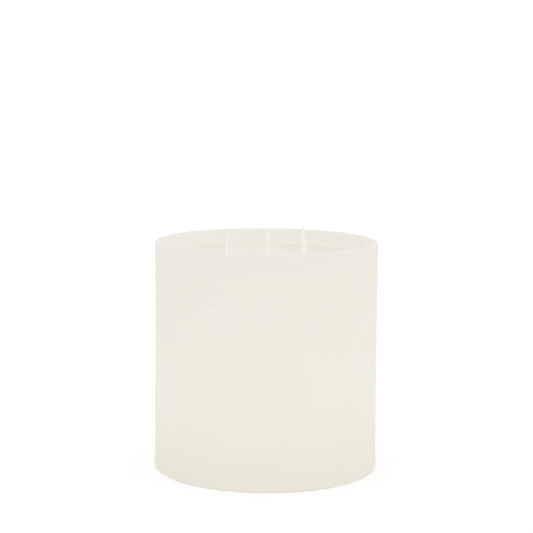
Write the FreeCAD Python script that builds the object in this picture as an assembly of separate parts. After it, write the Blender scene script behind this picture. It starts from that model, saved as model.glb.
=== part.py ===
import FreeCAD
import Part

# Three-wick pillar candle. Millimetres, +Z up, origin at the centre of the foot, on the plane it stands on.
#
# A hard wax shell, cast as a thick cup, holds a softer wax fill. The shell's rim stands above the fill,
# which leaves a shallow well in the top. Three braided cotton wicks, 120 degrees apart, run from tinplate
# clips in the underside, through the shell's floor and the fill, and stand free in the well, where the
# fill rises around each of them in a small cone. The underside is dished, so that the candle stands on
# an outer ring.

import math
import os

from FreeCAD import Vector

# ---- driving dimensions ----
foot_diameter = 151.0
waist_diameter = 149.7          # half-way up
rim_diameter = 150.0
candle_height = 154.0
shell_wall = 6.0                # at the rim
shell_floor = 7.0               # from the dished underside up to the fill
well_depth = 10.0               # from the rim down to the flat of the fill

rim_outer_round = 1.8
rim_inner_round = 1.8
rim_flare = 1.2                 # how far the well's wall leans outwards towards the rim
foot_round = 1.3
inner_floor_round = 5.0

dish_depth = 0.8                # of the underside
foot_ring_width = 7.0           # the flat ring that the candle stands on
dish_slope_width = 1.5

meniscus_height = 4.0           # how far the fill climbs the shell's wall
meniscus_width = 6.0

wick_circle_radius = 30.4
wick_diameter = 2.2
wick_clearance = 0.15           # between a wick and the wax around it

cone_radius = 2.6               # of the wax around a wick's foot
cone_height = 2.2
cone_top_width = 0.25

clip_disc_diameter = 20.0
clip_sheet = 0.3                # thickness of the tinplate
clip_neck_height = 9.0
clip_neck_wall = 0.4
clip_bend = 0.5                 # radius between disc and neck
clip_bead_radius = 6.5          # of the ring pressed into the disc
clip_bead_width = 1.6
clip_bead_height = 0.3
clip_pocket_depth = 1.3         # of the recess in the underside that takes the disc
clip_clearance = 0.25
crimp_levels = (0.45, 0.75)     # of the neck's height
crimp_height = 1.0              # of one of the flats that pinch the neck onto the wick
crimp_depth = 0.12
crimps_around = 4

# Each wick: the direction of its place on the wick circle, and the bends of its free end. The bends are
# points, each (sideways in X, sideways in Y, height above the fill) from the wick's place. The last is
# the tip.
wicks = {
    "front": (-90.0, [(0.0, 0.0, 6.0), (-0.15, -0.3, 13.0), (-0.2, -0.2, 19.4)]),
    "right": (30.0, [(0.0, 0.0, 2.6), (-0.75, 0.1, 5.8), (-0.8, 0.2, 13.4), (-1.6, 0.3, 17.8)]),
    "left": (150.0, [(0.0, 0.0, 3.0), (0.25, 0.05, 9.0), (0.8, 0.1, 13.4), (2.9, 0.3, 16.9)]),
}

# ---- worked out from them ----
foot_radius = foot_diameter / 2
waist_radius = waist_diameter / 2
rim_radius = rim_diameter / 2
inner_radius = rim_radius - shell_wall
inner_floor_z = dish_depth + shell_floor
fill_z = candle_height - well_depth
wick_radius = wick_diameter / 2
channel_radius = wick_radius + wick_clearance
clip_bore_radius = wick_radius + 0.02                 # the neck is crimped onto the wick
clip_neck_radius = clip_bore_radius + clip_neck_wall
clip_hole_radius = clip_neck_radius + clip_bend + clip_clearance
clip_top_z = dish_depth + clip_pocket_depth           # the roof of the pocket, which the disc meets
clip_bottom_z = clip_top_z - clip_sheet
neck_top_z = clip_top_z + clip_neck_height

UP = Vector(0, 0, 1)
ORIGIN = Vector(0, 0, 0)


def at(r, z):
    """A point of a profile: distance from the axis and height."""
    return Vector(r, 0, z)


def line(a, b):
    return Part.LineSegment(a, b).toShape()


def arc(a, middle, b):
    return Part.Arc(a, middle, b).toShape()


def rounding(centre, radius, start_degrees, sweep_degrees=90):
    """An arc about centre in the profile's plane, counter-clockwise from start_degrees."""
    def on(degrees):
        turn = math.radians(degrees)
        return centre + Vector(radius * math.cos(turn), 0, radius * math.sin(turn))
    return arc(on(start_degrees), on(start_degrees + sweep_degrees / 2), on(start_degrees + sweep_degrees))


def turned(edges):
    """The solid made by turning a closed profile once round the Z axis."""
    wire = Part.Wire(Part.__sortEdges__(edges))
    solid = Part.Face(wire).revolve(ORIGIN, UP, 360)
    return solid if solid.ShapeType == "Solid" else Part.Solid(solid.Shells[0])


def cylinder(radius, low, high, x=0.0, y=0.0):
    return Part.makeCylinder(radius, high - low, Vector(x, y, low))


def place_of(name):
    """Where a wick stands on the wick circle."""
    turn = math.radians(wicks[name][0])
    return wick_circle_radius * math.cos(turn), wick_circle_radius * math.sin(turn)


def outer_shell():
    """The cup: a dished foot, a tall wall with a slight waist, a rounded rim and a pocket for each clip."""
    foot_end = at(foot_radius - foot_round, 0)
    foot_start = at(foot_end.x - foot_ring_width, 0)
    dish_edge = at(foot_start.x - dish_slope_width, dish_depth)
    side_low = at(foot_radius, foot_round)
    side_high = at(rim_radius, candle_height - rim_outer_round)
    rim_outer = at(rim_radius - rim_outer_round, candle_height)
    rim_inner = at(inner_radius + rim_flare + rim_inner_round, candle_height)
    wall_low = at(inner_radius, fill_z + meniscus_height)
    # The well's wall leans outwards and runs smoothly into the rim's inner round.
    round_centre = at(rim_inner.x, candle_height - rim_inner_round)
    reach = round_centre - wall_low
    lean = math.atan2(reach.z, reach.x) + math.asin(rim_inner_round / reach.Length)
    wall_length = math.sqrt(reach.Length ** 2 - rim_inner_round ** 2)
    wall_high = wall_low + Vector(math.cos(lean), 0, math.sin(lean)) * wall_length
    corner_high = at(inner_radius, inner_floor_z + inner_floor_round)
    corner_low = at(inner_radius - inner_floor_round, inner_floor_z)
    shell = turned([
        line(at(0, dish_depth), dish_edge),
        line(dish_edge, foot_start),
        line(foot_start, foot_end),
        rounding(at(foot_end.x, foot_round), foot_round, -90),
        arc(side_low, at(waist_radius, candle_height / 2), side_high),
        rounding(at(rim_outer.x, side_high.z), rim_outer_round, 0),
        line(rim_outer, rim_inner),
        rounding(round_centre, rim_inner_round, 90, math.degrees(lean)),
        line(wall_high, wall_low),
        line(wall_low, corner_high),
        rounding(at(corner_low.x, corner_high.z), inner_floor_round, -90),
        line(corner_low, at(0, inner_floor_z)),
        line(at(0, inner_floor_z), at(0, dish_depth)),
    ])
    pocket_radius = clip_disc_diameter / 2 + clip_clearance
    for name in wicks:
        x, y = place_of(name)
        shell = shell.cut(cylinder(pocket_radius, 0, clip_top_z, x, y))
        shell = shell.cut(cylinder(clip_hole_radius, clip_top_z - 0.1, inner_floor_z + 0.1, x, y))
    return shell


def wick_cone(name):
    """The wax that rises around a wick's foot. It reaches down into the fill, so that the two fuse."""
    low = at(cone_radius, fill_z)
    high = at(channel_radius + cone_top_width, fill_z + cone_height)
    sag = at(low.x * 0.38 + high.x * 0.62, fill_z + cone_height * 0.3)
    root_z = fill_z - 1.0
    cone = turned([
        line(at(0, root_z), at(low.x, root_z)),
        line(at(low.x, root_z), low),
        arc(low, sag, high),
        line(high, at(0, high.z)),
        line(at(0, high.z), at(0, root_z)),
    ])
    x, y = place_of(name)
    cone.translate(Vector(x, y, 0))
    return cone


def wax_fill():
    """The fill: it meets the shell's floor and wall, climbs the wall in a low curve, and has a channel
    for each wick, wider at the bottom, around the clip's neck."""
    corner_low = at(inner_radius - inner_floor_round, inner_floor_z)
    corner_high = at(inner_radius, inner_floor_z + inner_floor_round)
    curve_low = at(inner_radius - meniscus_width, fill_z)
    curve_high = at(inner_radius, fill_z + meniscus_height)
    curve_radius = (meniscus_width ** 2 + meniscus_height ** 2) / (2 * meniscus_height)
    half_turn = math.asin(meniscus_width / curve_radius) / 2
    curve_middle = curve_low + Vector(curve_radius * math.sin(half_turn), 0,
                                      curve_radius * (1 - math.cos(half_turn)))
    fill = turned([
        line(at(0, inner_floor_z), corner_low),
        rounding(at(corner_low.x, corner_high.z), inner_floor_round, -90),
        line(corner_high, curve_high),
        arc(curve_high, curve_middle, curve_low),
        line(curve_low, at(0, fill_z)),
        line(at(0, fill_z), at(0, inner_floor_z)),
    ])
    for name in wicks:
        fill = fill.fuse(wick_cone(name))
    fill = fill.removeSplitter()
    for name in wicks:
        x, y = place_of(name)
        fill = fill.cut(cylinder(clip_hole_radius, inner_floor_z - 0.1, neck_top_z + clip_clearance, x, y))
        fill = fill.cut(cylinder(channel_radius, neck_top_z, fill_z + cone_height + 0.1, x, y))
    return fill


def rounded_route(points):
    """Straight runs through the points, joined by tangent arcs. Returns the wire and the arcs' radii."""
    edges = []
    radii = []
    start = points[0]
    for before, corner, after in zip(points, points[1:], points[2:]):
        into = (corner - before).normalize()
        out = (after - corner).normalize()
        half_turn = into.getAngle(out) / 2
        reach = 0.45 * min(before.distanceToPoint(corner), after.distanceToPoint(corner))
        radius = reach / math.tan(half_turn)
        middle = corner + (out - into).normalize() * radius * (1 / math.cos(half_turn) - 1)
        edges.append(line(start, corner - into * reach))
        edges.append(arc(corner - into * reach, middle, corner + out * reach))
        radii.append(radius)
        start = corner + out * reach
    edges.append(line(start, points[-1]))
    return Part.Wire(edges), radii


def wick(name):
    """One wick, from the underside of its clip to its tip, with a free end that leans and curls a little."""
    x, y = place_of(name)
    bends = [Vector(x + dx, y + dy, fill_z + up) for dx, dy, up in wicks[name][1]]
    path, radii = rounded_route([Vector(x, y, clip_bottom_z)] + bends)
    section = Part.Wire(Part.Circle(Vector(x, y, clip_bottom_z), UP, wick_radius).toShape())
    solid = path.makePipeShell([section], True, False)
    full = math.pi * wick_radius ** 2 * path.Length
    print(f"wick_{name}: {path.Length:.1f} mm long, tightest bend {min(radii):.1f} mm, "
          f"volume {solid.Volume / full:.4f} of section times length")
    return solid


def wick_clip(name):
    """A pressed tinplate clip: a disc with a ring bead, and a neck crimped onto the wick."""
    edge_round = clip_sheet / 2
    disc_edge = clip_disc_diameter / 2
    bead_in = clip_bead_radius - clip_bead_width / 2
    bead_out = clip_bead_radius + clip_bead_width / 2
    neck_foot = at(clip_neck_radius + clip_bend, clip_top_z)
    neck_low = at(clip_neck_radius, clip_top_z + clip_bend)
    bend_middle = at(neck_foot.x - clip_bend * math.sin(math.pi / 4),
                     neck_low.z - clip_bend * math.cos(math.pi / 4))
    clip = turned([
        line(at(clip_bore_radius, clip_bottom_z), at(bead_in, clip_bottom_z)),
        arc(at(bead_in, clip_bottom_z), at(clip_bead_radius, clip_bottom_z - clip_bead_height),
            at(bead_out, clip_bottom_z)),
        line(at(bead_out, clip_bottom_z), at(disc_edge - edge_round, clip_bottom_z)),
        arc(at(disc_edge - edge_round, clip_bottom_z), at(disc_edge, clip_bottom_z + edge_round),
            at(disc_edge - edge_round, clip_top_z)),
        line(at(disc_edge - edge_round, clip_top_z), at(bead_out, clip_top_z)),
        arc(at(bead_out, clip_top_z), at(clip_bead_radius, clip_top_z - clip_bead_height),
            at(bead_in, clip_top_z)),
        line(at(bead_in, clip_top_z), neck_foot),
        arc(neck_foot, bend_middle, neck_low),
        line(neck_low, at(clip_neck_radius, neck_top_z)),
        line(at(clip_neck_radius, neck_top_z), at(clip_bore_radius, neck_top_z)),
        line(at(clip_bore_radius, neck_top_z), at(clip_bore_radius, clip_bottom_z)),
    ])
    for level in crimp_levels:
        for k in range(crimps_around):
            flat = Part.makeBox(clip_neck_radius, 2 * clip_neck_radius, crimp_height,
                                Vector(clip_neck_radius - crimp_depth, -clip_neck_radius,
                                       clip_top_z + clip_neck_height * level))
            flat.rotate(ORIGIN, UP, 360 / crimps_around * k)
            clip = clip.cut(flat)
    x, y = place_of(name)
    clip.translate(Vector(x, y, 0))
    return clip


def write(name, shape):
    solids = shape.Solids
    print(f"{name}: {len(solids)} solid, valid {shape.isValid()}, {shape.Volume / 1000:.3f} cm3")
    (solids[0] if len(solids) == 1 else shape).exportStep(f"parts/{name}.step")


def main():
    os.makedirs("parts", exist_ok=True)
    write("outer_shell", outer_shell())
    write("wax_fill", wax_fill())
    for name in wicks:
        write(f"wick_{name}", wick(name))
        write(f"wick_clip_{name}", wick_clip(name))


main()
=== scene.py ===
import math
import random

import bmesh
import bpy
import numpy as np
from mathutils import Matrix, Vector, noise
from mathutils.geometry import delaunay_2d_cdt


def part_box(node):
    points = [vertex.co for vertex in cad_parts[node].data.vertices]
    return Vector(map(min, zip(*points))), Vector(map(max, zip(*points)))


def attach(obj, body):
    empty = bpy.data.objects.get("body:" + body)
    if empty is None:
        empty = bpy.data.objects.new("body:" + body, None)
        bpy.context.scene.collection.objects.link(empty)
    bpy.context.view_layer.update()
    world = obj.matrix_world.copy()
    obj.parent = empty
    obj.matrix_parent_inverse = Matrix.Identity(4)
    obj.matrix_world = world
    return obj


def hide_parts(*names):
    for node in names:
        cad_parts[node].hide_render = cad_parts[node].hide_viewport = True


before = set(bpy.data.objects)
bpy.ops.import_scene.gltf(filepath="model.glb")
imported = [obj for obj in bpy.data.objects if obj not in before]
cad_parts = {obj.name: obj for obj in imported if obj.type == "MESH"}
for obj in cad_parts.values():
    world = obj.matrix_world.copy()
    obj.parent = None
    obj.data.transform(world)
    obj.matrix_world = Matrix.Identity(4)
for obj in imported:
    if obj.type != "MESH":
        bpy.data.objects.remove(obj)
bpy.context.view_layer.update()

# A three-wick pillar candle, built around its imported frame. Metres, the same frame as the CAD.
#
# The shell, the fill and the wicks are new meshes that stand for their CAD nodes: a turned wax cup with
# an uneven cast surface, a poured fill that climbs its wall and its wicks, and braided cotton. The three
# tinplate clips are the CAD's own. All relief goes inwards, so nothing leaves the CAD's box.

MM = 0.001

# ---- sizes from the frame ----
shell_low, shell_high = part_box("outer_shell")
fill_low, fill_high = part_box("wax_fill")
candle_height = shell_high.z
foot_radius = shell_high.x
inner_radius = fill_high.x
inner_floor_z = fill_low.z
wick_names = ("front", "right", "left")


def wick_place(name):
    """Where a wick stands: the middle of its clip, seen from above."""
    low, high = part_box(f"wick_clip_{name}")
    return (low.x + high.x) / 2, (low.y + high.y) / 2


wick_places = {name: wick_place(name) for name in wick_names}
clip_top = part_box("wick_clip_front")[1].z


# ---- shapes that a box can't give, as in the CAD ----
waist_radius = foot_radius - 0.65 * MM
rim_radius = foot_radius - 0.5 * MM
well_depth = 10.0 * MM
fill_z = candle_height - well_depth
rim_round = 1.8 * MM
rim_flare = 1.2 * MM
foot_round = 1.3 * MM
foot_ring_width = 7.0 * MM
dish_depth = 0.8 * MM
dish_slope_width = 1.5 * MM
inner_floor_round = 5.0 * MM
meniscus_height = 4.0 * MM
meniscus_width = 6.0 * MM
cone_radius = 2.6 * MM
cone_height = 2.2 * MM
cone_top_radius = 1.1 * MM
cone_drop = 0.25 * MM                   # how far the cone's lip stays below the CAD's
pocket_radius = 10.25 * MM
pocket_roof_z = 2.1 * MM
clip_hole_radius = 2.27 * MM
clip_hole_top = clip_top + 0.25 * MM
wick_radius = 1.1 * MM
wick_hold_radius = 0.84 * MM            # the wax reaches in between the strands, to the core

# The bends of each wick's free end: (sideways in X, sideways in Y, height above the fill), as in part.py.
wick_bends = {
    "front": [(0.0, 0.0, 6.0), (-0.15, -0.3, 13.0), (-0.2, -0.2, 19.4)],
    "right": [(0.0, 0.0, 2.6), (-0.75, 0.1, 5.8), (-0.8, 0.2, 13.4), (-1.6, 0.3, 17.8)],
    "left": [(0.0, 0.0, 3.0), (0.25, 0.05, 9.0), (0.8, 0.1, 13.4), (2.9, 0.3, 16.9)],
}

# ---- fineness of the meshes ----
around = 360                            # points around the candle
side_rows = 214
hole_points = 32
pocket_points = 64

# ---- the cast surface ----
# Patches where the wax set pale and streaky: (degrees from the front, share of the height, half width,
# half height, strength).
front_patches = [
    (-27, 0.75, 10 * MM, 6 * MM, 1.0),
    (-5, 0.73, 6 * MM, 4 * MM, 0.8),
    (2, 0.81, 7 * MM, 4 * MM, 0.6),
    (30, 0.78, 7 * MM, 4 * MM, 1.0),
    (24, 0.69, 7 * MM, 6 * MM, 0.7),
    (-24, 0.40, 5 * MM, 3 * MM, 0.6),
    (35, 0.36, 5 * MM, 3 * MM, 0.6),
    (26, 0.18, 8 * MM, 8 * MM, 0.7),
    (-26, 0.21, 12 * MM, 8 * MM, 0.5),
]
patches_elsewhere = 14


def all_patches():
    """The patches at the front, and more round the rest of the candle, spread by chance."""
    chance = random.Random(4)
    patches = list(front_patches)
    for k in range(patches_elsewhere):
        degrees = 60 + 240 * (k + chance.random()) / patches_elsewhere
        level = chance.uniform(0.12, 0.86)
        width = chance.uniform(5, 12) * MM
        height = chance.uniform(3, 8) * MM
        patches.append((degrees, level, width, height, chance.uniform(0.5, 1.0)))
    return patches


def soft_noise(point, size):
    """Noise from 0 to 1 with bumps about as large as size."""
    return 0.5 + 0.5 * noise.noise(point / size)


def streak_noise(point):
    """Noise from 0 to 1 that runs in thin level streaks around the candle."""
    length, thickness = 16 * MM, 1.5 * MM
    return 0.5 + 0.5 * noise.noise(Vector((point.x / length, point.y / length, point.z / thickness)))


class Skin:
    """Points and faces, gathered ring by ring into one closed mesh."""

    def __init__(self):
        self.points = []
        self.faces = []

    def add(self, points):
        first = len(self.points)
        self.points.extend(points)
        return list(range(first, len(self.points)))

    def ring(self, radius, z, count, x=0.0, y=0.0):
        turns = [2 * math.pi * k / count for k in range(count)]
        return self.add([Vector((x + radius * math.cos(t), y + radius * math.sin(t), z)) for t in turns])

    def bridge(self, ring_a, ring_b):
        """Quads between two closed rings of as many points."""
        for k in range(len(ring_a)):
            after = (k + 1) % len(ring_a)
            self.faces.append((ring_a[k], ring_a[after], ring_b[after], ring_b[k]))

    def stack(self, rings):
        for ring_a, ring_b in zip(rings, rings[1:]):
            self.bridge(ring_a, ring_b)

    def plate(self, outline, holes, inside):
        """Triangles that span a round outline, its round holes left open, through the points inside. A
        triangle with all its corners on one hole would close that hole, so it is left out."""
        indices = list(outline)
        edges = []
        for closed in [outline, *holes]:
            if closed is not outline:
                indices.extend(closed)
            first = len(indices) - len(closed)
            edges.extend((first + k, first + (k + 1) % len(closed)) for k in range(len(closed)))
        indices.extend(self.add(inside))
        flat = [Vector((self.points[i].x, self.points[i].y)) for i in indices]
        cut = delaunay_2d_cdt(flat, edges, [], 0, 1e-7)
        source = [indices[ids[0]] for ids in cut[3]]
        hole_of = {i: number for number, hole in enumerate(holes) for i in hole}
        for face in cut[2]:
            corners = tuple(source[i] for i in face)
            numbers = {hole_of.get(i) for i in corners}
            if len(numbers) > 1 or None in numbers:
                self.faces.append(corners)

    def piece(self, name, sharp_degrees=40):
        """The finished object, with its faces turned outwards."""
        mesh = bpy.data.meshes.new(name)
        mesh.from_pydata([tuple(p) for p in self.points], [], self.faces)
        shape = bmesh.new()
        shape.from_mesh(mesh)
        bmesh.ops.recalc_face_normals(shape, faces=shape.faces)
        shape.to_mesh(mesh)
        shape.free()
        mesh.shade_smooth()
        mesh.set_sharp_from_angle(angle=math.radians(sharp_degrees))
        thing = bpy.data.objects.new(name, mesh)
        bpy.context.scene.collection.objects.link(thing)
        return thing


def rounding(centre_r, centre_z, radius, start_degrees, steps, sweep_degrees=90):
    """Points (r, z, outward r, outward z) along an arc, without its first point."""
    points = []
    for k in range(1, steps + 1):
        turn = math.radians(start_degrees + sweep_degrees * k / steps)
        points.append((centre_r + radius * math.cos(turn), centre_z + radius * math.sin(turn),
                       math.cos(turn), math.sin(turn)))
    return points


def side_radius(z):
    """The outer side's radius at height z: one bow through foot, waist and rim."""
    low, high = foot_round, candle_height - rim_round
    share = (z - low) / (high - low)
    straight = foot_radius + (rim_radius - foot_radius) * share
    bow = (foot_radius + rim_radius) / 2 - waist_radius
    return straight - 4 * bow * share * (1 - share)


def frost_at(degrees_from_front, z, patches):
    """How pale and streaky the side is at a place, from 0 to 1."""
    total = 0.0
    for degrees, level, half_width, half_height, strength in patches:
        apart = (degrees_from_front - degrees + 180) % 360 - 180
        across = math.radians(apart) * foot_radius / half_width
        up = (z - level * candle_height) / half_height
        total += strength * math.exp(-across * across - up * up)
    return min(total, 1.0)


def side_relief(point, frost):
    """How far the cast surface lies inside the true one."""
    slow = 0.20 * MM * soft_noise(point, 38 * MM) ** 2
    dimples = 0.07 * MM * soft_noise(point + Vector((1, 2, 3)), 8 * MM) ** 2
    streaks = (0.015 + 0.05 * frost) * MM * streak_noise(point)
    return slow + dimples + streaks


def rim_relief(point):
    """How far the rim's top and the well's wall lie inside the true ones."""
    slow = 0.26 * MM * soft_noise(point + Vector((5, 1, 2)), 24 * MM) ** 2
    fine = 0.07 * MM * soft_noise(point, 5 * MM) ** 2
    return slow + fine


def well_wall():
    """The well's wall, which runs smoothly into the rim's round: how it leans, in radians from level, and
    its length up from the fill's edge."""
    across = rim_flare + rim_round
    up = well_depth - meniscus_height - rim_round
    reach = math.hypot(across, up)
    return math.atan2(up, across) + math.asin(rim_round / reach), math.sqrt(reach ** 2 - rim_round ** 2)


def shell_rows():
    """The shell's profile as rings from the dish's edge, round the outside and the rim, down the well's
    wall and inside to the floor: (r, z, outward r, outward z, share of side relief, share of rim relief)."""
    foot_end = foot_radius - foot_round
    foot_start = foot_end - foot_ring_width
    dish_edge = foot_start - dish_slope_width
    rows = [(dish_edge, dish_depth, 0, -1, 0, 0)]
    rows += [(dish_edge + dish_slope_width * t, dish_depth * (1 - t), 0, -1, 0, 0) for t in (0.5, 1.0)]
    rows += [(foot_start + foot_ring_width * t, 0, 0, -1, 0, 0) for t in (0.4, 0.8, 1.0)]
    turn_in = rounding(foot_end, foot_round, foot_round, -90, 6)
    rows += [(*point, (k + 1) / 6, 0) for k, point in enumerate(turn_in)]
    high = candle_height - rim_round
    for k in range(1, side_rows + 1):
        z = foot_round + (high - foot_round) * k / side_rows
        to_rim = min(max((z - (high - 6 * MM)) / (6 * MM), 0), 1)
        rows.append((side_radius(z), z, 1, 0, 1, 0.5 * to_rim))
    rows += [(*point, 1 - k / 8, 0.5 + k / 16) for k, point in
             enumerate(rounding(rim_radius - rim_round, high, rim_round, 0, 8))]
    well_edge = inner_radius + rim_flare
    rows.append((well_edge + rim_round, candle_height, 0, 1, 0, 1))
    lean, wall_length = well_wall()
    rows += [(*point, 0, 1) for point in
             rounding(well_edge + rim_round, high, rim_round, 90, 8, math.degrees(lean))]
    contact_z = fill_z + meniscus_height
    for t in (0.12, 0.25, 0.38, 0.5, 0.62, 0.75, 0.88, 1.0):
        up = wall_length * (1 - t)
        rows.append((inner_radius + up * math.cos(lean), contact_z + up * math.sin(lean),
                     -math.sin(lean), math.cos(lean), 0, 1 - t))
    corner_top = inner_floor_z + inner_floor_round
    rows += [(inner_radius, corner_top + (contact_z - corner_top) * t, -1, 0, 0, 0) for t in (0.5, 0.0)]
    rows += [(*point[:2], 0, 1, 0, 0) for point in
             reversed(rounding(inner_radius - inner_floor_round, corner_top, inner_floor_round, -90, 5)[:-1])]
    rows.append((inner_radius - inner_floor_round, inner_floor_z, 0, 1, 0, 0))
    return rows


def grid_inside(radius, spacing, holes):
    """Points (x, y) of a hexagonal grid within radius, clear of the holes: (x, y, clear radius)."""
    points = []
    count = int(radius / spacing) + 2
    for row in range(-count, count + 1):
        for column in range(-count, count + 1):
            x = spacing * (column + 0.5 * (row % 2))
            y = spacing * row * math.sqrt(3) / 2
            clear = all(math.hypot(x - hx, y - hy) > reach for hx, hy, reach in holes)
            if math.hypot(x, y) < radius and clear:
                points.append((x, y))
    return points


def add_pocket(skin, x, y):
    """A clip's pocket in the underside and the hole for its neck. Returns the rings at both ends."""
    mouth = skin.ring(pocket_radius, dish_depth, pocket_points, x, y)
    roof = skin.ring(pocket_radius, pocket_roof_z, pocket_points, x, y)
    hole = skin.ring(clip_hole_radius, pocket_roof_z, pocket_points, x, y)
    top = skin.ring(clip_hole_radius, inner_floor_z, pocket_points, x, y)
    skin.stack([mouth, roof, hole, top])
    return mouth, top


def build_shell():
    """The cast cup: a closed mesh with a pocket for each clip and a hole for each neck."""
    patches = all_patches()
    skin = Skin()
    rings = []
    frost = []
    for r, z, out_r, out_z, side_share, rim_share in shell_rows():
        ring = []
        for k in range(around):
            turn = 2 * math.pi * k / around
            cosine, sine = math.cos(turn), math.sin(turn)
            point = Vector((r * cosine, r * sine, z))
            pale = frost_at(math.degrees(turn) + 90, z, patches) if side_share > 0 else 0.0
            depth = 0.0
            if side_share > 0:
                depth += side_share * side_relief(point, pale)
            if rim_share > 0:
                depth += rim_share * rim_relief(point)
            ring.append(point - Vector((out_r * cosine, out_r * sine, out_z)) * depth)
            frost.append(pale)
        rings.append(skin.add(ring))
    skin.stack(rings)
    mouths, tops = zip(*[add_pocket(skin, x, y) for x, y in wick_places.values()])
    pocket_reach = [(x, y, pocket_radius + 1.5 * MM) for x, y in wick_places.values()]
    dish_radius = foot_radius - foot_round - foot_ring_width - dish_slope_width
    dish_points = grid_inside(dish_radius - 2 * MM, 5 * MM, pocket_reach)
    skin.plate(rings[0], mouths, [Vector((x, y, dish_depth)) for x, y in dish_points])
    skin.plate(rings[-1], tops, [])
    shell = skin.piece("shell_cast_wax")
    values = np.zeros(len(skin.points), np.float32)
    values[:len(frost)] = frost
    shell.data.attributes.new("frost", "FLOAT", "POINT").data.foreach_set("value", values)
    return shell


def fill_height(x, y):
    """The fill's top: nearly level, sunk a little in a ring around each wick, and climbing to the wall
    and to the wicks."""
    point = Vector((x, y, fill_z))
    radius = math.hypot(x, y)
    near_wall = max(0.0, radius - (inner_radius - meniscus_width))
    bow = (meniscus_width ** 2 + meniscus_height ** 2) / (2 * meniscus_height)
    climb = bow - math.sqrt(bow * bow - near_wall * near_wall)
    level_share = 1 - near_wall / meniscus_width
    slow = 0.35 * MM * soft_noise(point, 26 * MM) + 0.06 * MM * soft_noise(point, 6 * MM)
    height = fill_z + climb - slow * level_share
    for wx, wy in wick_places.values():
        away = math.hypot(x - wx, y - wy)
        reach = 1.15 * cone_radius - 0.3 * MM * soft_noise(point + Vector((3, 3, 0)), 2.5 * MM)
        rise = min(max((reach - away) / (reach - cone_top_radius), 0.0), 1.0)
        height += (cone_height - cone_drop) * rise ** 2.2
        sunk = 0.25 * MM * math.exp(-((away - 9 * MM) / (5 * MM)) ** 2)
        height -= sunk * level_share
    return height


def wick_closeness(point):
    """1 on the cone of wax at a wick's foot, falling to 0 a little outside it."""
    away = min(math.hypot(point.x - x, point.y - y) for x, y in wick_places.values())
    return min(max(2.0 - away / cone_radius, 0.0), 1.0)


def staggered(radius, count, x=0.0, y=0.0):
    """Points (x, y) of a circle, set half a step round from those of a ring."""
    turns = [2 * math.pi * (k + 0.5) / count for k in range(count)]
    return [(x + radius * math.cos(t), y + radius * math.sin(t)) for t in turns]


def points_near_wick(x, y):
    """Points on circles around a wick, wider apart outwards, and the radius that they reach."""
    points = []
    radius = wick_hold_radius
    step = 0.14 * MM
    while radius < 7 * MM:
        radius += step
        step *= 1.1
        points += staggered(radius, hole_points, x, y)
    return points, radius


def points_near_wall():
    """Points on circles along the shell's wall, wider apart inwards, and the radius that they reach."""
    points = []
    radius = inner_radius
    step = 0.12 * MM
    while step < 1.5 * MM:
        radius -= step
        step *= 1.13
        points += staggered(radius, around if step < 0.8 * MM else around // 2)
    return points, radius


def add_channel(skin, x, y):
    """A wick's channel, wider at the bottom, around the clip's neck. Returns the rings at both ends."""
    mouth = skin.ring(wick_hold_radius, fill_z + cone_height - cone_drop, hole_points, x, y)
    low = skin.ring(wick_hold_radius, clip_hole_top, hole_points, x, y)
    wide = skin.ring(clip_hole_radius, clip_hole_top, hole_points, x, y)
    foot = skin.ring(clip_hole_radius, inner_floor_z, hole_points, x, y)
    skin.stack([mouth, low, wide, foot])
    return mouth, foot


def build_fill():
    """The poured wax: a closed solid with a channel for each wick."""
    skin = Skin()
    corner_top = inner_floor_z + inner_floor_round
    sides = [skin.ring(inner_radius, fill_z + meniscus_height, around),
             skin.ring(inner_radius, (fill_z + corner_top) / 2, around),
             skin.ring(inner_radius, corner_top, around)]
    corner = rounding(inner_radius - inner_floor_round, corner_top, inner_floor_round, -90, 5)[:-1]
    for r, z, _, _ in reversed(corner):
        sides.append(skin.ring(r, z, around))
    sides.append(skin.ring(inner_radius - inner_floor_round, inner_floor_z, around))
    skin.stack(sides)
    mouths, feet = zip(*[add_channel(skin, x, y) for x, y in wick_places.values()])
    inside, kept_clear = [], []
    for x, y in wick_places.values():
        points, reached = points_near_wick(x, y)
        inside += points
        kept_clear.append((x, y, reached + 0.5 * MM))
    points, reached = points_near_wall()
    inside += points
    inside += grid_inside(reached - 0.9 * MM, 1.6 * MM, kept_clear)
    skin.plate(sides[0], mouths, [Vector((x, y, fill_height(x, y))) for x, y in inside])
    skin.plate(sides[-1], feet, [])
    fill = skin.piece("fill_poured_wax")
    values = [wick_closeness(point) for point in skin.points]
    fill.data.attributes.new("near_wick", "FLOAT", "POINT").data.foreach_set("value", values)
    return fill


# ---- wicks ----
strands_each_way = 4
strand_width = 0.92 * MM
strand_thickness = 0.36 * MM
braid_radius = wick_radius - strand_thickness - 0.02 * MM
braid_wave = 0.13 * MM                  # how far a strand goes out and in, over and under
braid_pitch = 6.2 * MM                  # length of one turn of a strand
core_radius = 0.88 * MM
braid_below = 5 * MM                    # of braid inside the wax, and inside the clip's neck


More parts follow.
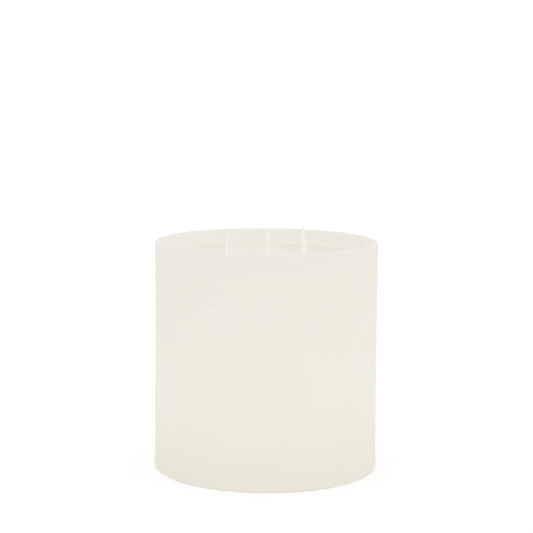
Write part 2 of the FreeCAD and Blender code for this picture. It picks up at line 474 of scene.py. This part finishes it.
def smooth_route(name):
    """Points along a wick's line, from its foot to its tip, read from a NURBS curve through its bends."""
    x, y = wick_places[name]
    foot_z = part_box(f"wick_{name}")[0].z
    bends = [(x, y, foot_z), (x, y, fill_z - 30 * MM), (x, y, fill_z - 3 * MM)]
    bends += [(x + dx * MM, y + dy * MM, fill_z + up * MM) for dx, dy, up in wick_bends[name]]
    curve = bpy.data.curves.new(f"route_{name}", "CURVE")
    curve.dimensions = "3D"
    curve.resolution_u = 24
    spline = curve.splines.new("NURBS")
    spline.points.add(len(bends) - 1)
    for place, bend in zip(spline.points, bends):
        place.co = (*bend, 1)
    spline.order_u = 3
    spline.use_endpoint_u = True
    holder = bpy.data.objects.new(f"route_{name}", curve)
    line = bpy.data.meshes.new_from_object(holder)
    points = np.array([v.co for v in line.vertices])
    bpy.data.objects.remove(holder)
    bpy.data.curves.remove(curve)
    bpy.data.meshes.remove(line)
    return points if points[0][2] < points[-1][2] else points[::-1]


class Line:
    """A route that can be asked for its point and its two sideways directions at any length along it."""

    def __init__(self, points):
        self.points = points
        steps = np.linalg.norm(np.diff(points, axis=0), axis=1)
        self.reached = np.concatenate([[0], np.cumsum(steps)])
        self.length = self.reached[-1]

    def point(self, along):
        return np.array([np.interp(along, self.reached, self.points[:, axis]) for axis in range(3)])

    def sides(self, along):
        ahead = self.point(min(along + 0.2 * MM, self.length))
        behind = self.point(max(along - 0.2 * MM, 0))
        direction = (ahead - behind) / np.linalg.norm(ahead - behind)
        first = np.array([1.0, 0, 0]) - direction * direction[0]
        first /= np.linalg.norm(first)
        return first, np.cross(direction, first)

    def at(self, along, radius, turn):
        first, second = self.sides(along)
        return self.point(along) + radius * (first * math.cos(turn) + second * math.sin(turn))


def add_tube(skin, sections):
    """A closed tube through rings of points, with a flat cap on each end."""
    rings = [skin.add([Vector(p) for p in section]) for section in sections]
    skin.stack(rings)
    skin.faces.append(tuple(rings[0]))
    skin.faces.append(tuple(reversed(rings[-1])))


def add_core(skin, line, end):
    """The smooth waxed core that the strands are braided around."""
    count = 60
    sections = []
    for k in range(count + 1):
        share = k / count
        along = 0.1 * MM + (end - 0.1 * MM) * (1 - (1 - share) ** 2.2)
        sections.append([line.at(along, core_radius, 2 * math.pi * j / 12) for j in range(12)])
    add_tube(skin, sections)


def add_strand(skin, line, number, way, start, end, chance):
    """One strand of the braid, which turns one way and goes over and under those that turn the other."""
    samples = max(int((end - start) / (0.16 * MM)), 8)
    corners = 8
    look_ahead = 0.1 * MM
    offset = chance.uniform(-0.12, 0.12)
    sections = []
    for k in range(samples + 1):
        along = start + (end - start) * k / samples
        turns = 2 * math.pi * along / braid_pitch
        turn = way * turns + 2 * math.pi * number / strands_each_way
        to_end = max(0.0, 1 - (end - along) / (1.2 * MM))       # near its end a strand frays and thins
        spread = 1 + 0.10 * to_end * to_end
        radius = (braid_radius + way * braid_wave * math.cos(4 * turns)) * spread
        slimmer = 1 - 0.35 * to_end ** 3 * (1 + offset)
        centre = line.at(along, radius, turn)
        first, second = line.sides(along)
        outward = first * math.cos(turn) + second * math.sin(turn)
        turned = way * 2 * math.pi * look_ahead / braid_pitch
        further = line.at(min(along + look_ahead, line.length), radius, turn + turned)
        nearer = line.at(max(along - look_ahead, 0), radius, turn - turned)
        forward = (further - nearer) / np.linalg.norm(further - nearer)
        across = np.cross(forward, outward)
        section = []
        for j in range(corners):
            angle = 2 * math.pi * j / corners
            flat = 0.5 * strand_width * slimmer * math.cos(angle)
            thick = 0.5 * strand_thickness * slimmer * math.sin(angle)
            curl = -flat * flat / (2 * radius)
            section.append(centre + across * flat + outward * (thick + curl))
        sections.append(section)
    add_tube(skin, sections)


def build_wick(name):
    """A braided wick: a core from the clip to the tip, braided where it shows at either end."""
    chance = random.Random(sum(map(ord, name)))
    line = Line(smooth_route(name))
    skin = Skin()
    tip = line.length - 0.18 * MM
    add_core(skin, line, tip - 0.5 * MM)
    free_start = line.length - (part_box(f"wick_{name}")[1].z - fill_z) - braid_below
    for start, end in ((0.1 * MM, braid_below), (free_start, tip)):
        for way in (1, -1):
            for number in range(strands_each_way):
                cut = chance.uniform(0, 0.3) * MM if end == tip else 0
                add_strand(skin, line, number, way, start, end - cut, chance)
    return skin.piece(f"wick_{name}_braid", 60)


# ---- materials ----

class Finish:
    """A material, with short ways to write its nodes."""

    def __init__(self, name):
        self.material = bpy.data.materials.new(name)
        self.material.use_nodes = True
        self.nodes = self.material.node_tree.nodes
        self.links = self.material.node_tree.links
        self.shader = self.nodes["Principled BSDF"]
        self.place = self.nodes.new("ShaderNodeTexCoord").outputs["Object"]

    def set(self, **values):
        for name, value in values.items():
            self.shader.inputs[name.replace("_", " ")].default_value = value

    def join(self, value, socket):
        if isinstance(value, bpy.types.NodeSocket):
            self.links.new(value, socket)
        else:
            socket.default_value = value

    def maths(self, operation, a, b=0.0):
        node = self.nodes.new("ShaderNodeMath")
        node.operation = operation
        self.join(a, node.inputs[0])
        self.join(b, node.inputs[1])
        return node.outputs[0]

    def height(self):
        node = self.nodes.new("ShaderNodeSeparateXYZ")
        self.links.new(self.place, node.inputs[0])
        return node.outputs["Z"]

    def radius(self):
        """The distance from the candle's axis."""
        flat = self.nodes.new("ShaderNodeVectorMath")
        flat.operation = "MULTIPLY"
        flat.inputs[1].default_value = (1, 1, 0)
        self.links.new(self.place, flat.inputs[0])
        node = self.nodes.new("ShaderNodeVectorMath")
        node.operation = "LENGTH"
        self.links.new(flat.outputs[0], node.inputs[0])
        return node.outputs["Value"]

    def attribute(self, name, output="Fac"):
        node = self.nodes.new("ShaderNodeAttribute")
        node.attribute_name = name
        return node.outputs[output]

    def noise(self, size, detail=2.0, stretch=(1, 1, 1)):
        """Noise from 0 to 1 with bumps about as large as size, stretched along the axes."""
        mapping = self.nodes.new("ShaderNodeMapping")
        mapping.inputs["Scale"].default_value = [1 / (size * s) for s in stretch]
        self.links.new(self.place, mapping.inputs["Vector"])
        node = self.nodes.new("ShaderNodeTexNoise")
        node.inputs["Scale"].default_value = 1.0
        node.inputs["Detail"].default_value = detail
        self.links.new(mapping.outputs[0], node.inputs["Vector"])
        return node.outputs[0]

    def ramp(self, value, low, high, to_low=0.0, to_high=1.0):
        """A smooth step from to_low to to_high as the value goes from low to high."""
        node = self.nodes.new("ShaderNodeMapRange")
        node.interpolation_type = "SMOOTHSTEP"
        self.links.new(value, node.inputs["Value"])
        for name, number in zip(("From Min", "From Max", "To Min", "To Max"), (low, high, to_low, to_high)):
            node.inputs[name].default_value = number
        return node.outputs[0]

    def mix(self, factor, first, second):
        node = self.nodes.new("ShaderNodeMix")
        node.data_type = "RGBA"
        self.join(factor, node.inputs[0])
        for colour, socket in ((first, node.inputs[6]), (second, node.inputs[7])):
            self.join((*colour, 1) if isinstance(colour, tuple) else colour, socket)
        return node.outputs[2]

    def bump(self, height, distance, under=None):
        node = self.nodes.new("ShaderNodeBump")
        node.inputs["Distance"].default_value = distance
        self.links.new(height, node.inputs["Height"])
        if under is not None:
            self.links.new(under, node.inputs["Normal"])
        return node.outputs[0]


def wax(name, colour, clouded, mottled):
    """Cast wax: lightly translucent and nearly matt, with large soft clouds and small mottles in slightly
    different tones. Returns the finish and its base colour."""
    finish = Finish(name)
    finish.set(IOR=1.44, Specular_IOR_Level=0.25)
    finish.set(Subsurface_Radius=(1.0, 0.8, 0.6), Subsurface_Scale=1.0 * MM)
    finish.shader.subsurface_method = "BURLEY"
    clouds = finish.ramp(finish.noise(45 * MM, 3), 0.40, 0.62)
    base = finish.mix(clouds, colour, clouded)
    mottles = finish.ramp(finish.noise(8 * MM, 3), 0.50, 0.72, 0.0, 0.3)
    return finish, finish.mix(mottles, base, mottled)


def shell_wax():
    """Ivory wax with pale streaks and flecks, with painted light and shade in its colour: painted paler
    inside the well, with painted shade at the foot and a little towards the rim, so that it is palest just
    below half-way, and painted more neutral at the top, for the light through the thin wall where no fill
    backs it."""
    finish, base = wax("shell_wax", (0.812, 0.782, 0.699), (0.801, 0.770, 0.685), (0.790, 0.759, 0.672))
    z = finish.height()
    radius = finish.radius()
    # Painted shade: towards the rim the wax is mixed to a deeper tone, for the light that falls off there.
    painted_upper_shade = finish.ramp(z, 0.38 * candle_height, 0.88 * candle_height, 0.0, 0.5)
    base = finish.mix(painted_upper_shade, base, (0.772, 0.744, 0.665))
    streaks = finish.noise(1.1 * MM, 3, (7, 7, 1))
    flecks = finish.noise(0.8 * MM, 2, (3, 3, 1))
    frost = finish.attribute("frost")
    in_patch = finish.maths("MULTIPLY", finish.ramp(streaks, 0.50, 0.64), frost)
    in_fleck = finish.maths("MULTIPLY", finish.ramp(flecks, 0.58, 0.68), frost)
    pale = finish.maths("MAXIMUM", in_patch, in_fleck)
    faint = finish.ramp(finish.noise(1.3 * MM, 4, (16, 16, 1)), 0.55, 0.75, 0.0, 0.3)
    base = finish.mix(finish.maths("MAXIMUM", pale, faint), base, (0.830, 0.805, 0.739))
    # Painted shade: darker towards the foot, where less light reaches it near the floor.
    painted_foot_shade = finish.ramp(z, 0.0, 0.32 * candle_height, 1.0, 0.0)
    base = finish.mix(painted_foot_shade, base, (0.776, 0.740, 0.658))
    # Painted light: the band above the fill's level is toned more neutral, for the light that passes through
    # the thin wall where no fill backs it.
    uneven = finish.maths("MULTIPLY", finish.noise(14 * MM, 2), 6 * MM)
    thin = finish.ramp(finish.maths("ADD", z, uneven), fill_z - 3.5 * MM, fill_z + 6.5 * MM)
    base = finish.mix(thin, base, (0.777, 0.756, 0.700))
    # Painted light: the well's wall and the rim's inner edge are painted paler, for the light that shines
    # through the thin wall into the shaded well; subsurface scattering is off there.
    painted_well_light = finish.ramp(radius, inner_radius + 1.1 * MM, inner_radius + 2.1 * MM, 1.0, 0.0)
    base = finish.mix(painted_well_light, base, (0.852, 0.830, 0.785))
    finish.links.new(base, finish.shader.inputs["Base Color"])
    finish.links.new(finish.maths("SUBTRACT", 1.0, painted_well_light), finish.shader.inputs["Subsurface Weight"])
    rough = finish.maths("ADD", finish.ramp(finish.noise(5 * MM, 4), 0.3, 0.7, 0.52, 0.62),
                         finish.maths("MULTIPLY", pale, 0.12))
    finish.links.new(rough, finish.shader.inputs["Roughness"])
    grain = finish.bump(finish.noise(0.7 * MM, 4), 0.03 * MM)
    relief = finish.bump(finish.maths("ADD", pale, finish.maths("MULTIPLY", streaks, 0.5)), 0.04 * MM, grain)
    finish.links.new(relief, finish.shader.inputs["Normal"])
    return finish.material


def fill_wax():
    """Softer ivory wax, in tones deeper than the shell's as painted shade for the well's floor, with painted
    light where it climbs the wall, and paler where it clings to a wick.
    """
    # Painted shade: the fill's tones are deeper than the shell's, for the shade on the well's floor.
    finish, base = wax("fill_wax", (0.783, 0.749, 0.659), (0.795, 0.762, 0.673), (0.773, 0.736, 0.642))
    # Painted light: where the fill climbs the wall it is painted paler, to run into the well's painted-pale
    # wall and lift the shade in the crease between them.
    painted_wall_climb_light = finish.ramp(finish.radius(), inner_radius - 1.5 * meniscus_width, inner_radius - 2 * MM)
    base = finish.mix(painted_wall_climb_light, base, (0.836, 0.810, 0.738))
    near_wick = finish.attribute("near_wick")
    risen = finish.ramp(finish.height(), fill_z - 0.3 * MM, fill_z + 0.8 * MM)
    base = finish.mix(finish.maths("MULTIPLY", near_wick, risen), base, (0.938, 0.922, 0.884))
    finish.links.new(base, finish.shader.inputs["Base Color"])
    solid = finish.maths("MAXIMUM", painted_wall_climb_light, near_wick)
    finish.links.new(finish.maths("SUBTRACT", 1.0, solid), finish.shader.inputs["Subsurface Weight"])
    rough = finish.ramp(finish.noise(6 * MM, 4), 0.3, 0.7, 0.42, 0.55)
    finish.links.new(rough, finish.shader.inputs["Roughness"])
    pores = finish.ramp(finish.noise(0.9 * MM, 2), 0.64, 0.76, 1.0, 0.0)
    skin = finish.bump(finish.noise(2.2 * MM, 3), 0.05 * MM)
    finish.links.new(finish.bump(pores, 0.03 * MM, skin), finish.shader.inputs["Normal"])
    return finish.material


def wick_cotton():
    """Bleached cotton under a thin coat of wax, with fine fibres and wax caught between the strands."""
    finish = Finish("wick_cotton")
    finish.set(IOR=1.45, Sheen_Weight=0.4, Sheen_Roughness=0.5)
    fibres = finish.noise(0.09 * MM, 3, (1, 1, 6))
    waxed = finish.ramp(finish.noise(1.3 * MM, 3), 0.4, 0.62)
    soaked = finish.ramp(finish.height(), fill_z, fill_z + 10 * MM, 1.0, 0.0)
    cotton = finish.mix(soaked, (0.925, 0.913, 0.880), (0.990, 0.980, 0.955))
    base = finish.mix(finish.ramp(fibres, 0.35, 0.7, 0.25, 0.0), cotton, (0.880, 0.865, 0.825))
    base = finish.mix(finish.maths("MULTIPLY", waxed, 0.3), base, (0.950, 0.937, 0.905))
    finish.links.new(base, finish.shader.inputs["Base Color"])
    finish.links.new(finish.ramp(waxed, 0.0, 1.0, 0.8, 0.5), finish.shader.inputs["Roughness"])
    finish.links.new(finish.bump(fibres, 0.04 * MM), finish.shader.inputs["Normal"])
    return finish.material


def clip_tinplate():
    """Bright tinplate, drawn in one direction by the rolls and lightly stained by wax."""
    finish = Finish("clip_tinplate")
    finish.set(Metallic=1.0)
    drawn = finish.noise(0.12 * MM, 3, (1, 40, 1))
    stains = finish.ramp(finish.noise(3 * MM, 4), 0.5, 0.7)
    base = finish.mix(finish.ramp(drawn, 0.3, 0.7), (0.60, 0.60, 0.59), (0.70, 0.70, 0.69))
    base = finish.mix(finish.maths("MULTIPLY", stains, 0.4), base, (0.66, 0.64, 0.58))
    finish.links.new(base, finish.shader.inputs["Base Color"])
    finish.links.new(finish.ramp(stains, 0.0, 1.0, 0.26, 0.48), finish.shader.inputs["Roughness"])
    finish.links.new(finish.bump(drawn, 0.006 * MM), finish.shader.inputs["Normal"])
    return finish.material


# ---- the studio ----
floor_reach = 80 * candle_height
eye_distance = 7.10 * candle_height
eye_height = 1.863 * candle_height
eye_degrees = -1.5                      # the camera stands a little to the left of the front
look_down_degrees = 7.845
tilt_degrees = 0.416
lens_mm = 110.65
wall_light = 1.13                       # the white room's brightness all round, and overhead
roof_light = 1.04
wall_ends = 0.15                        # as the height of a direction, 1 being straight up
roof_starts = 0.9
key_place = Vector((0.9, -0.7, 0.6))    # a large soft lamp, to the right of the front
key_size = 0.8
key_power = 0.3


def add_camera():
    """A camera a little above the rim, which looks slightly down on the candle."""
    data = bpy.data.cameras.new("camera")
    data.lens = lens_mm
    data.sensor_width = 36
    camera = bpy.data.objects.new("camera", data)
    bpy.context.scene.collection.objects.link(camera)
    turn = math.radians(eye_degrees)
    eye = Vector((eye_distance * math.sin(turn), -eye_distance * math.cos(turn), eye_height))
    camera.matrix_world = (Matrix.Translation(eye) @ Matrix.Rotation(turn, 4, "Z")
                           @ Matrix.Rotation(math.radians(90 - look_down_degrees), 4, "X")
                           @ Matrix.Rotation(math.radians(tilt_degrees), 4, "Z"))
    bpy.context.scene.camera = camera


def add_floor():
    """A pale floor with a little light of its own, so that it stays as bright as the room around it."""
    skin = Skin()
    rim = skin.ring(floor_reach, -0.05 * MM, 96)
    skin.faces.append(tuple(rim))
    floor = skin.piece("floor")
    finish = Finish("floor")
    base = finish.mix(finish.noise(800 * MM, 2), (0.39, 0.39, 0.39), (0.41, 0.41, 0.41))
    finish.links.new(base, finish.shader.inputs["Base Color"])
    finish.set(Roughness=1.0, Specular_IOR_Level=0.0, Emission_Color=(1, 1, 1, 1), Emission_Strength=0.60)
    floor.data.materials.append(finish.material)


def add_area_light(name, place, size, power):
    data = bpy.data.lights.new(name, "AREA")
    data.shape = "DISK"
    data.size = size
    data.energy = power
    lamp = bpy.data.objects.new(name, data)
    bpy.context.scene.collection.objects.link(lamp)
    lamp.location = place
    aim = Vector((0, 0, candle_height / 2)) - lamp.location
    lamp.rotation_euler = aim.to_track_quat("-Z", "Y").to_euler()
    lamp.visible_camera = False


def add_studio():
    """A plain white room around the candle, one soft lamp, the floor and the camera."""
    scene = bpy.context.scene
    scene.view_settings.view_transform = "Standard"
    world = bpy.data.worlds.new("studio")
    world.use_nodes = True
    nodes, links = world.node_tree.nodes, world.node_tree.links
    direction = nodes.new("ShaderNodeSeparateXYZ")
    links.new(nodes.new("ShaderNodeTexCoord").outputs["Generated"], direction.inputs[0])
    height = nodes.new("ShaderNodeMapRange")
    links.new(direction.outputs["Z"], height.inputs["Value"])
    levels = {"From Min": wall_ends, "From Max": roof_starts, "To Min": wall_light, "To Max": roof_light}
    for name, number in levels.items():
        height.inputs[name].default_value = number
    nodes["Background"].inputs["Color"].default_value = (1, 1, 1, 1)
    links.new(height.outputs[0], nodes["Background"].inputs["Strength"])
    scene.world = world
    add_area_light("key", key_place, key_size, key_power)
    add_floor()
    add_camera()


def finish_piece(piece, material, node):
    """Give a new mesh its material and let it stand for its CAD node."""
    piece.data.materials.append(material)
    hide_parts(node)
    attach(piece, "root")


def main():
    finish_piece(build_shell(), shell_wax(), "outer_shell")
    finish_piece(build_fill(), fill_wax(), "wax_fill")
    cotton = wick_cotton()
    tinplate = clip_tinplate()
    for name in wick_names:
        finish_piece(build_wick(name), cotton, f"wick_{name}")
        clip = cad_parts[f"wick_clip_{name}"]
        clip.data.materials.clear()
        clip.data.materials.append(tinplate)
    add_studio()


main()
